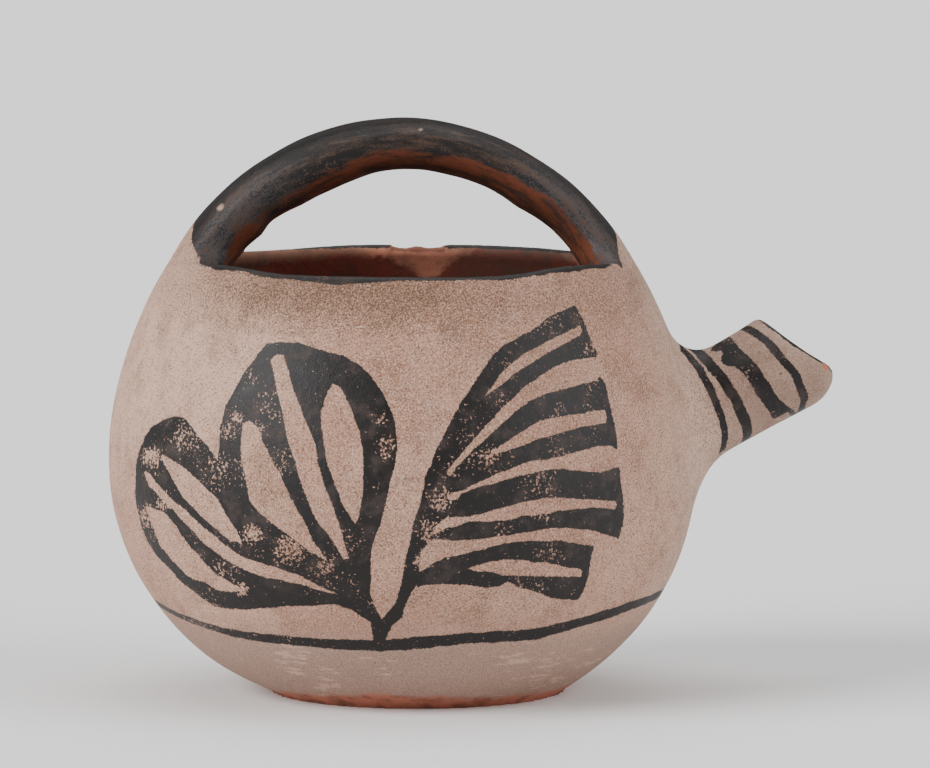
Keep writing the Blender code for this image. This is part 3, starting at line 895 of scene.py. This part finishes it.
claySurface = {
    "slip": (0.360, 0.194, 0.135, 1.0),
    "slipPale": (0.610, 0.400, 0.305, 1.0),
    # painted sheen laid over the slip round the right side
    "slipSheen": (0.510, 0.375, 0.305, 1.0),
    "slipGrey": (0.325, 0.216, 0.172, 1.0),
    "slipStain": (0.150, 0.078, 0.045, 1.0),
    "spoutStain": (0.130, 0.080, 0.058, 1.0),
    "speckDark": (0.060, 0.032, 0.020, 1.0),
    "paint": (0.0090, 0.0070, 0.0068, 1.0),
    "paintThin": (0.050, 0.034, 0.030, 1.0),
    "bareClay": (0.42, 0.140, 0.086, 1.0),
    "bareClayDark": (0.20, 0.066, 0.039, 1.0),
    # painted light on the upper inside wall
    "insidePaintedLight": (0.45, 0.180, 0.115, 1.0),
    # bare clay in the chip, darkened as painted shade
    "chipClayShaded": (0.180, 0.066, 0.041, 1.0),
    "insideBrown": (0.175, 0.080, 0.052, 1.0),
    "insideRed": (0.19, 0.046, 0.030, 1.0),
    "insideDark": (0.070, 0.046, 0.034, 1.0),
    # painted shade on the handle's upper side
    "handleTopShade": (0.0050, 0.0040, 0.0038, 1.0),
    # painted sheen on the handle's front and back sides
    "handleSheen": (0.052, 0.046, 0.049, 1.0),
    "handleWorn": (0.062, 0.036, 0.024, 1.0),
    "handleBare": (0.112, 0.029, 0.0115, 1.0),
    "handleBareDark": (0.036, 0.015, 0.009, 1.0),
    "raggedness": 1.15,                 # millimetres of unevenness along painted edges
    "tremor": 1.0,                      # millimetres of slow wander of the brush
    "edgeSoftness": 0.16,
    "flaking": 0.30,                    # how much of the paint has flaked off everywhere
    "slipRoughness": 0.82,
    "paintRoughness": 0.50,
    "handleRoughness": 0.50,
    "grit": 0.00030,                    # depth of the surface's grain in metres
}

# Where the paint has worn off most: across, up, radius in millimetres and how much
wornSpots = [
    (-65.0, 75.5, 7.0, 0.60), (-75.5, 70.0, 4.2, 1.00), (-76.5, 52.0, 5.0, 0.80), (-71.5, 56.0, 3.4, 0.85),
    (-53.5, 35.5, 6.0, 0.50), (-48.0, 30.0, 2.8, 0.90), (-33.5, 42.0, 6.5, 0.90), (-45.0, 46.5, 4.2, 0.95),
    (-23.0, 37.0, 5.0, 0.70), (-52.5, 78.0, 4.5, 0.60), (-49.6, 81.7, 2.6, 0.95), (-55.5, 66.0, 8.0, 0.50),
    (-4.5, 73.0, 4.5, 0.65), (-6.4, 81.3, 3.0, 0.75), (-16.0, 45.0, 7.0, 0.40), (-43.0, 78.5, 3.2, 0.75),
    (11.7, 57.0, 5.5, 0.75), (9.0, 47.5, 5.5, 0.75), (43.5, 52.5, 4.5, 0.60), (26.5, 70.5, 4.2, 0.80),
    (57.0, 102.5, 4.0, 0.60), (42.0, 62.0, 8.0, 0.45), (48.0, 71.0, 5.0, 0.50), (6.6, 38.5, 4.0, 0.85),
    (30.0, 87.0, 6.0, 0.35), (45.0, 41.0, 6.0, 0.45), (14.5, 66.0, 5.0, 0.50), (52.0, 108.0, 4.0, 0.40),
    (-36.0, 18.0, 5.0, 0.60), (-60.0, 22.0, 9.0, 0.55),
]

# Where the slip is smeared paler over the lower body: across, up, radius in millimetres and how much
paleSmears = [
    (-33.0, 9.0, 7.0, 1.0), (-22.0, 2.5, 6.0, 0.9), (-8.0, 6.0, 7.0, 0.5), (34.0, 7.0, 9.0, 0.7),
    (44.0, 3.0, 8.0, 0.8), (26.0, -2.0, 6.0, 0.6), (-58.0, 22.0, 8.0, 0.5), (55.0, 9.0, 6.0, 0.6),
]


def oneMinus(tree, value):
    return minus(tree, 1.0, value)


def spanOf(tree, first, second):
    return calc(tree, "SQRT", timesPlus(tree, first, first, times(tree, second, second)))


def joinPlace(tree, *parts):
    node = addNode(tree, "ShaderNodeCombineXYZ")
    for index, part in enumerate(parts):
        feed(tree, node.inputs[index], part)
    return node.outputs[0]


def edgeMask(tree, edge, softness=claySurface["edgeSoftness"]):
    return grade(tree, edge, -softness, softness)


def spotField(tree, drawnPlace, spots):
    # strongest of several soft round spots
    field = None
    for across, up, radius, amount in spots:
        far = vectorCalc(tree, "DISTANCE", drawnPlace, (across, up, 0.0))
        spot = grade(tree, far, radius * 1.25, radius * 0.2, 0.0, amount)
        field = spot if field is None else calc(tree, "MAXIMUM", field, spot)
    return field


def placesOn(tree):
    # coordinates that the zones are drawn in, all in millimetres and degrees
    spots = {}
    place = vectorCalc(tree, "SCALE", addNode(tree, "ShaderNodeTexCoord").outputs["Object"], 1000.0)
    half = (0.5, 0.5, 0.5)
    quick = vectorCalc(tree, "SUBTRACT", grain(tree, place, 1.1, 3.0, 0.7, colour=True), half)
    slow = vectorCalc(tree, "SUBTRACT", grain(tree, place, 0.2, 1.0, 0.5, colour=True), half)
    brushed = vectorCalc(tree, "ADD", place, vectorCalc(tree, "SCALE", quick, claySurface["raggedness"]))
    brushed = vectorCalc(tree, "ADD", brushed, vectorCalc(tree, "SCALE", slow, claySurface["tremor"]))
    split = addNode(tree, "ShaderNodeSeparateXYZ")
    feed(tree, split.inputs[0], brushed)
    x, y, z = split.outputs[0], split.outputs[1], split.outputs[2]
    depthSide = sizeOf(tree, y)

    # the drawing is laid out as seen from in front and a little above
    view = drawingView
    nearness = timesPlus(tree, depthSide, -1.0, view["distance"])
    drop = minus(tree, z, view["height"])
    viewDepth = timesPlus(tree, nearness, view["level"], times(tree, drop, -view["downward"]))
    viewRise = timesPlus(tree, nearness, view["downward"], times(tree, drop, view["level"]))
    ratio = calc(tree, "DIVIDE", view["toAxis"], viewDepth)
    spots["across"] = times(tree, x, ratio)
    spots["up"] = timesPlus(tree, viewRise, ratio, view["middle"])
    spots["drawn"] = joinPlace(tree, spots["across"], spots["up"])

    # round the body
    turn = calc(tree, "ARCTAN2", x, negative(tree, y))
    spots["turn"] = times(tree, turn, math.degrees(1))
    heights = (0, 1.5, 3, 5, 8, 12, 20, 35, 60, 100, 140)
    lean = drawnCurve(tree, z, [(height, sidewaysAt(height * 0.001) * 1000) for height in heights])
    spots["fromAxis"] = spanOf(tree, minus(tree, x, lean), y)

    # along and round the spout, and past the plane of its mouth
    start, alongSpout, upSpout = spoutAxis()
    fromRoot = minus(tree, x, start.x * 1000)
    fromMiddle = minus(tree, z, start.z * 1000)
    outward = times(tree, fromMiddle, alongSpout.z)
    outward = timesPlus(tree, fromRoot, alongSpout.x, outward)
    upward = times(tree, fromMiddle, upSpout.z)
    upward = timesPlus(tree, fromRoot, upSpout.x, upward)
    spots["spoutOut"] = outward
    spots["spoutRadius"] = spanOf(tree, y, upward)
    spots["spoutTurn"] = times(tree, calc(tree, "ARCTAN2", depthSide, upward), math.degrees(1))
    slant = math.tan(spoutForm["lipFacing"] - spoutForm["rise"])
    pastLip = timesPlus(tree, y, math.tan(spoutForm["lipRoll"]), outward)
    pastLip = timesPlus(tree, upward, slant, pastLip)
    spots["pastLip"] = minus(tree, pastLip, spoutForm["length"] * 1000)

    # along the handle and below its upper side
    archRadius, archCentre, _ = archGeometry()
    overCentre = minus(tree, z, archCentre * 1000)
    spots["below"] = minus(tree, archRadius * 1000, spanOf(tree, x, overCentre))
    spots["fromCrown"] = times(tree, calc(tree, "ARCTAN2", x, overCentre), math.degrees(1))
    spots.update(place=place, brushed=brushed, x=x, y=y, z=z, depthSide=depthSide)
    return spots


def drawnShape(tree, spots, name):
    form = frontDrawing[name]
    along, crossing = spots["across"], spots["up"]
    if form["along"] == "up":
        along, crossing = crossing, along
    return insideBand(tree, along, crossing, form["low"], form["high"])


def cutShape(tree, spots, name, slits):
    whole = drawnShape(tree, spots, name)
    return allOf(tree, [whole] + [negative(tree, drawnShape(tree, spots, slit)) for slit in slits])


def markEdges(tree, spots, kind):
    edges = []
    for markKind, middle, radius in roundMarks:
        if markKind == kind:
            far = vectorCalc(tree, "DISTANCE", spots["brushed"], middle)
            edges.append(minus(tree, radius, far))
    return edges


def paintedEdge(tree, spots):
    # millimetres inside the black painting on the body and the spout
    leafSlits = [name for name in frontDrawing if name.startswith(("lowLeafSlit", "bigLeafSlit"))]
    fanSlits = [name for name in frontDrawing if name.startswith(("fanGap", "fanSlit"))]
    leaves = anyOf(tree, [cutShape(tree, spots, "leaves", leafSlits), drawnShape(tree, spots, "leafTip")])
    behind = calc(tree, "GREATER_THAN", spots["y"], 0.0)
    leaves = timesPlus(tree, behind, -1000.0, leaves)
    fan = anyOf(tree, [cutShape(tree, spots, "fan", fanSlits), drawnShape(tree, spots, "fanStem")])
    fromRing = minus(tree, spots["z"], drawnCurve(tree, spots["turn"], bodyLines["ringHeight"]))
    ringHalf = drawnCurve(tree, spots["turn"], bodyLines["ringHalfWidth"])
    ring = minus(tree, ringHalf, sizeOf(tree, fromRing))
    bands = markEdges(tree, spots, "paint")
    for line, halfWidth in spoutBands:
        gap = minus(tree, spots["spoutOut"], drawnCurve(tree, spots["spoutTurn"], line))
        band = minus(tree, halfWidth, sizeOf(tree, gap))
        taper = times(tree, minus(tree, line[-1][0], spots["spoutTurn"]), 0.25)
        bands.append(allOf(tree, [band, taper]))
    bands.append(plus(tree, spots["pastLip"], grade(tree, spots["spoutTurn"], 60.0, 125.0, 1.7, -0.6)))
    onSpout = allOf(tree, [anyOf(tree, bands), minus(tree, spots["spoutRadius"], 10.8),
                           minus(tree, spots["x"], 84.0)])
    return anyOf(tree, [leaves, fan, ring, onSpout])


def slipColour(tree, spots, mottle, sand):
    look = claySurface
    place, z = spots["place"], spots["z"]
    clouds = grain(tree, place, 0.024, 3.0, 0.6)
    colour = blendColour(tree, grade(tree, clouds, 0.36, 0.66, 0.0, 0.34), look["slip"], look["slipPale"])
    # painted light: the slip turns paler towards the upper left shoulder of the front, where the light falls
    fromLitShoulder = vectorCalc(tree, "DISTANCE", spots["drawn"], (-70.0, 100.0, 0.0))
    colour = blendColour(tree, grade(tree, fromLitShoulder, 62.0, 12.0, 0.0, 0.6), colour, look["slipPale"])
    # painted sheen: a paler, greyer veil over the slip round the right side
    rightSheen = calc(tree, "MINIMUM", grade(tree, spots["turn"], 52.0, 88.0, 0.0, 0.6),
                     grade(tree, spots["turn"], 165.0, 115.0, 0.0, 0.6))
    colour = blendColour(tree, rightSheen, colour, look["slipSheen"])
    colour = blendColour(tree, grade(tree, mottle, 0.46, 0.70, 0.0, 0.42), colour, look["slipGrey"])
    rubbed = grade(tree, grain(tree, place, 0.07, 5.0, 0.75), 0.47, 0.66, 0.0, 0.42)
    colour = blendColour(tree, rubbed, colour, look["slipStain"])
    colour = blendColour(tree, grade(tree, z, 30.0, 20.0, 0.0, 0.85), colour, look["slipGrey"])
    # brown patina under the rim, most of it left of the middle, and on the spout
    edgeOfStain = timesPlus(tree, mottle, 14.0, z)
    underRim = grade(tree, edgeOfStain, 117.0, 132.0, 0.0, 1.0)
    leftward = grade(tree, sizeOf(tree, plus(tree, spots["turn"], 17.0)), 60.0, 6.0, 0.28, 1.0)
    underRim = times(tree, underRim, leftward)
    colour = blendColour(tree, times(tree, underRim, 0.70), colour, look["slipStain"])
    onSpout = grade(tree, spots["x"], 90.0, 108.0)
    colour = blendColour(tree, times(tree, onSpout, 0.45), colour, look["spoutStain"])
    # pale smears low down
    stretched = vectorCalc(tree, "MULTIPLY", place, (0.10, 0.10, 0.62))
    streak = grain(tree, stretched, 1.0, 5.0, 0.7)
    smearing = spotField(tree, spots["drawn"], paleSmears)
    smears = timesPlus(tree, smearing, 0.16, streak)
    smears = grade(tree, smears, 0.62, 0.70, 0.0, 0.6)
    colour = blendColour(tree, smears, colour, look["slipPale"])
    # sand and dirt in the surface
    sanded = times(tree, grade(tree, z, 20.0, 40.0, 0.5, 1.0), timesPlus(tree, onSpout, -0.6, 1.0))
    dark = times(tree, grade(tree, sand, 0.52, 0.69, 0.0, 0.95), sanded)
    pale = times(tree, grade(tree, sand, 0.48, 0.33, 0.0, 0.75), sanded)
    pale = times(tree, pale, timesPlus(tree, underRim, -0.55, 1.0))
    colour = blendColour(tree, dark, colour, look["slipStain"])
    colour = blendColour(tree, pale, colour, look["slipPale"])
    soot = times(tree, grade(tree, sand, 0.44, 0.62, 0.0, 0.62), underRim)
    colour = blendColour(tree, soot, colour, look["speckDark"])
    specks = grade(tree, grain(tree, place, 0.5, 3.0, 0.7), 0.69, 0.72, 0.0, 0.75)
    return blendColour(tree, specks, colour, look["speckDark"])


def handleZones(tree, spots, streaks, sand, flaked):
    # colour of the handle with its painted sheen and painted shade, where it is, and where it is matt: its
    # bare underside and its shaded upper side
    look, lines = claySurface, handleLines
    onRight = grade(tree, spots["x"], -10.0, 10.0)
    ends = timesPlus(tree, onRight, lines["endDegrees"][1] - lines["endDegrees"][0], lines["endDegrees"][0])
    ends = timesPlus(tree, spots["depthSide"], lines["endSpread"], ends)
    ends = plus(tree, ends, grade(tree, spots["below"], lines["innerFrom"], lines["innerFrom"] + 9.0,
                                  0.0, lines["innerLonger"]))
    toEnd = minus(tree, ends, sizeOf(tree, spots["fromCrown"]))
    reach = timesPlus(tree, onRight, lines["endReach"][1] - lines["endReach"][0], lines["endReach"][0])
    inMouth = grade(tree, spots["below"], 8.0, 12.0, 0.0, lines["footInMouth"])
    reach = plus(tree, reach, inMouth)
    foot = minus(tree, lines["footOfBlack"], inMouth)
    edge = allOf(tree, [times(tree, toEnd, 1.38), minus(tree, reach, spots["depthSide"]),
                        minus(tree, 27.0, spots["below"]),
                        minus(tree, spots["z"], foot)])
    onHandle = edgeMask(tree, edge)
    # painted sheen: a pale grey veil on the handle's sides away from the crown, mottled by the streaks and
    # sand
    sideSheen = grade(tree, sizeOf(tree, spots["fromCrown"]), 20.0, 42.0, 0.0, 1.2)
    sideSheen = times(tree, sideSheen, grade(tree, plus(tree, streaks, sand), 0.80, 1.12, 0.12, 0.95))
    colour = blendColour(tree, sideSheen, look["paint"], look["handleSheen"])
    worn = grade(tree, timesPlus(tree, sand, 0.35, streaks), 0.60, 0.84, 0.0, 0.9)
    colour = blendColour(tree, worn, colour, look["handleWorn"])
    crease = minus(tree, drawnCurve(tree, spots["fromCrown"], handleForm["creaseLine"]), spots["below"])
    # painted shade: the colour goes back to full black along the crease
    creaseShade = grade(tree, sizeOf(tree, crease), 1.3, 0.3, 0.0, 0.7)
    colour = blendColour(tree, creaseShade, colour, look["paint"])
    # painted shade: the upper side above the crease darkened almost to black
    topShade = grade(tree, crease, 0.0, 1.2, 0.0, 0.85)
    colour = blendColour(tree, topShade, colour, look["handleTopShade"])
    bareEdge = minus(tree, spots["below"], drawnCurve(tree, spots["fromCrown"], lines["bareUnderside"]))
    bareEdge = timesPlus(tree, minus(tree, streaks, 0.5), 10.0, bareEdge)
    bare = grade(tree, bareEdge, -1.0, 1.2)
    bareShade = grade(tree, streaks, 0.38, 0.60)
    bareColour = blendColour(tree, bareShade, look["handleBareDark"], look["handleBare"])
    colour = blendColour(tree, bare, colour, bareColour)
    chips = times(tree, flaked, oneMinus(tree, bare))
    colour = blendColour(tree, times(tree, chips, 0.18), colour, look["slip"])
    return colour, onHandle, calc(tree, "MAXIMUM", bare, topShade)


def insideColour(tree, spots):
    look = claySurface
    uneven = minus(tree, grain(tree, spots["place"], 0.22, 4.0, 0.65), 0.5)
    # painted light on the upper inside wall above a drawn line, brightest in a wedge around 8 mm right of
    # the axis and right of about 48 mm; below the line it stays dark red
    lighter = minus(tree, spots["z"], drawnCurve(tree, spots["x"], insideLines["paintedLightAbove"]))
    lighter = timesPlus(tree, uneven, 9.0, lighter)
    fromWedge = sizeOf(tree, minus(tree, spots["x"], 8.0))
    wedge = calc(tree, "MAXIMUM", grade(tree, fromWedge, 24.0, 13.0), grade(tree, spots["x"], 43.0, 53.0))
    upper = blendColour(tree, wedge, look["insideBrown"], look["insidePaintedLight"])
    colour = blendColour(tree, grade(tree, lighter, -1.3, 1.5), look["insideRed"], upper)
    # darker band inside, about 10 to 48 mm right of the axis
    darkerBand = grade(tree, sizeOf(tree, minus(tree, spots["x"], 29.0)), 19.0, 9.0, 0.0, 0.5)
    colour = blendColour(tree, darkerBand, colour, look["insideDark"])
    dripped = minus(tree, spots["z"], drawnCurve(tree, spots["x"], insideLines["drippedAbove"]))
    dripped = timesPlus(tree, uneven, 8.0, dripped)
    colour = blendColour(tree, grade(tree, dripped, -1.8, 1.8, 0.0, 0.75), colour, look["insideDark"])
    shade = grade(tree, grain(tree, spots["place"], 0.09, 4.0, 0.65), 0.46, 0.66, 0.0, 0.55)
    return blendColour(tree, shade, colour, look["insideDark"])


def insideEdges(tree, spots):
    heights = [step * 4.4 for step in range(31)]
    inWall = 0.55 * bodyForm["wall"]
    middle = [(height, (bodyRadiusAt(height * 0.001) - inWall) * 1000) for height in heights]
    fromLeftRoot = minus(tree, sizeOf(tree, plus(tree, spots["turn"], 70.0)), 10.0)
    offRoot = anyOf(tree, [fromLeftRoot, minus(tree, 57.0, spots["fromAxis"]),
                           minus(tree, 128.6, spots["z"])])
    vessel = allOf(tree, [minus(tree, drawnCurve(tree, spots["z"], middle), spots["fromAxis"]), offRoot,
                          minus(tree, spots["z"], 3.3), minus(tree, 131.5, spots["z"])])
    bore = allOf(tree, [minus(tree, 10.9, spots["spoutRadius"]),
                        minus(tree, spots["x"], 70.0)])
    return anyOf(tree, [vessel, bore])


def makeClaySurface():
    look = claySurface
    clay = bpy.data.materials.new("slippedClay")
    clay.use_nodes = True
    tree = clay.node_tree
    tree.nodes.clear()
    spots = placesOn(tree)
    place, z = spots["place"], spots["z"]
    mottle = grain(tree, place, 0.16, 4.0, 0.62)
    sand = grain(tree, place, 2.1, 2.0, 0.5)
    colour = slipColour(tree, spots, mottle, sand)

    # the black painting, flaked off in crumbs
    patches = grade(tree, grain(tree, place, 0.085, 2.0), 0.50, 0.72, 0.0, 0.45)
    wear = calc(tree, "MAXIMUM", spotField(tree, spots["drawn"], wornSpots), patches)
    wear = plus(tree, wear, look["flaking"])
    crumbs = grain(tree, place, 1.15, 4.0, 0.68)
    limit = timesPlus(tree, wear, -0.225, 0.745)
    flaked = grade(tree, minus(tree, crumbs, limit), -0.014, 0.014)
    kept = oneMinus(tree, flaked)
    painted = times(tree, edgeMask(tree, paintedEdge(tree, spots)), kept)
    thin = times(tree, grade(tree, mottle, 0.46, 0.70, 0.0, 0.7), grade(tree, z, 33.0, 48.0, 0.1, 1.0))
    black = blendColour(tree, thin, look["paint"], look["paintThin"])
    colour = blendColour(tree, painted, colour, black)

    # bare clay at the foot and on chipped places
    bareShade = grade(tree, grain(tree, place, 0.2, 4.0, 0.62), 0.42, 0.70)
    bare = blendColour(tree, bareShade, look["bareClay"], look["bareClayDark"])
    foot = minus(tree, drawnCurve(tree, spots["turn"], bodyLines["bareFoot"]), z)
    foot = timesPlus(tree, minus(tree, mottle, 0.5), 5.0, foot)
    bareMask = calc(tree, "MAXIMUM", grade(tree, foot, -0.9, 1.2, 0.0, 0.93),
                    edgeMask(tree, anyOf(tree, markEdges(tree, spots, "bare")), 0.3))
    colour = blendColour(tree, bareMask, colour, bare)

    # inside, then the handle, then the black lip and the chip in it, whose bare clay is darkened as painted
    # shade
    insideMask = edgeMask(tree, insideEdges(tree, spots), 0.3)
    colour = blendColour(tree, insideMask, colour, insideColour(tree, spots))
    streakPlace = joinPlace(tree, times(tree, spots["fromCrown"], 0.10),
                            times(tree, spots["below"], 0.45), times(tree, spots["y"], 0.30))
    streaks = grain(tree, streakPlace, 1.0, 5.0, 0.68)
    handleColour, onHandle, handleMatt = handleZones(tree, spots, streaks, sand, flaked)
    colour = blendColour(tree, onHandle, colour, handleColour)
    dust = times(tree, edgeMask(tree, anyOf(tree, markEdges(tree, spots, "dust")), 0.5), 0.65)
    colour = blendColour(tree, dust, colour, look["slipPale"])
    lipInner = drawnCurve(tree, spots["turn"], bodyLines["lipInner"])
    lipEdge = allOf(tree, [minus(tree, z, drawnCurve(tree, spots["turn"], bodyLines["lip"])),
                           minus(tree, spots["fromAxis"], lipInner), minus(tree, 134.0, z)])
    lip = times(tree, edgeMask(tree, lipEdge), timesPlus(tree, flaked, -0.6, 1.0))
    lipThin = times(tree, thin, 0.5)
    colour = blendColour(tree, lip, colour, blendColour(tree, lipThin, look["paint"], look["handleWorn"]))
    # painted shade: the chip's bare clay is darker than the bare clay elsewhere
    chip = allOf(tree, [minus(tree, 8.6, sizeOf(tree, minus(tree, spots["x"], 5.2))),
                        minus(tree, spots["y"], 50.0), minus(tree, z, 128.0)])
    colour = blendColour(tree, edgeMask(tree, chip, 0.4), colour, look["chipClayShaded"])

    # gloss
    anyPaint = calc(tree, "MAXIMUM", painted, lip)
    paintGloss = look["paintRoughness"] - look["slipRoughness"]
    rough = timesPlus(tree, anyPaint, paintGloss, look["slipRoughness"])
    handleGloss = times(tree, onHandle, oneMinus(tree, handleMatt))
    rough = blendValue(tree, handleGloss, rough, look["handleRoughness"])
    rough = timesPlus(tree, minus(tree, mottle, 0.5), 0.35, rough)

    # grain of the surface: sand in the slip, soft lumps and streaks along the handle
    lumps = grain(tree, place, 0.35, 3.0, 0.6)
    height = timesPlus(tree, sand, 0.6, lumps)
    height = timesPlus(tree, times(tree, streaks, onHandle), 1.6, height)
    bump = addNode(tree, "ShaderNodeBump")
    bump.inputs["Strength"].default_value = 0.6
    bump.inputs["Distance"].default_value = look["grit"]
    feed(tree, bump.inputs["Height"], height)

    shader = addNode(tree, "ShaderNodeBsdfPrincipled")
    feed(tree, shader.inputs["Base Color"], colour)
    feed(tree, shader.inputs["Roughness"], rough)
    feed(tree, shader.inputs["Normal"], bump.outputs[0])
    shader.inputs["Specular IOR Level"].default_value = 0.28
    output = addNode(tree, "ShaderNodeOutputMaterial")
    tree.links.new(shader.outputs[0], output.inputs[0])
    return clay


# Studio: a pale floor, soft light and the camera

studio = {
    "camera": (0.0, -2.0, 0.2765),
    "lookAt": (0.0193, 0.0, 0.0927),
    "lens": 257.5,
    "floorColour": (0.90, 0.90, 0.90, 1.0),
    "floorHalf": 14.0,
    "worldColour": (1.0, 1.0, 1.0, 1.0),
    "worldStrength": 0.20,
    # name, where it shines from, strength and softness in degrees
    "lights": [
        ("keyLight", (-0.80, -0.42, 0.46), 3.9, 40.0),
        ("fillLight", (0.86, -0.34, 0.40), 2.2, 50.0),
        ("floorLight", (0.0, 0.25, 1.0), 1.55, 60.0),
    ],
}


def makeStudio():
    half = studio["floorHalf"]
    floorMesh = bpy.data.meshes.new("studioFloor")
    corners = [(-half, -half, 0), (half, -half, 0), (half, half, 0), (-half, half, 0)]
    floorMesh.from_pydata(corners, [], [(0, 1, 2, 3)])
    floor = bpy.data.objects.new("studioFloor", floorMesh)
    bpy.context.scene.collection.objects.link(floor)
    paper = bpy.data.materials.new("paleFloor")
    paper.use_nodes = True
    shader = paper.node_tree.nodes["Principled BSDF"]
    shader.inputs["Base Color"].default_value = studio["floorColour"]
    shader.inputs["Roughness"].default_value = 0.9
    shader.inputs["Specular IOR Level"].default_value = 0.1
    floorMesh.materials.append(paper)

    world = bpy.data.worlds.new("softStudio")
    world.use_nodes = True
    background = world.node_tree.nodes["Background"]
    background.inputs["Color"].default_value = studio["worldColour"]
    background.inputs["Strength"].default_value = studio["worldStrength"]
    bpy.context.scene.world = world

    for name, towards, strength, softness in studio["lights"]:
        lamp = bpy.data.lights.new(name, "SUN")
        lamp.energy = strength
        lamp.angle = math.radians(softness)
        light = bpy.data.objects.new(name, lamp)
        light.location = Vector(towards) * 2
        light.rotation_euler = (-Vector(towards)).to_track_quat("-Z", "Y").to_euler()
        bpy.context.scene.collection.objects.link(light)

    lens = bpy.data.cameras.new("studioCamera")
    lens.lens = studio["lens"]
    lens.sensor_width = 36.0
    camera = bpy.data.objects.new("studioCamera", lens)
    camera.location = studio["camera"]
    aim = Vector(studio["lookAt"]) - Vector(studio["camera"])
    camera.rotation_euler = aim.to_track_quat("-Z", "Y").to_euler()
    bpy.context.scene.collection.objects.link(camera)
    bpy.context.scene.camera = camera


makeStudio()
print("Studio ready")

clay = makeClaySurface()
print("Clay surface made:", len(clay.node_tree.nodes), "nodes")
pitcher.data.materials.clear()
pitcher.data.materials.append(clay)

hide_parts("pitcher")
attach(pitcher, "root")
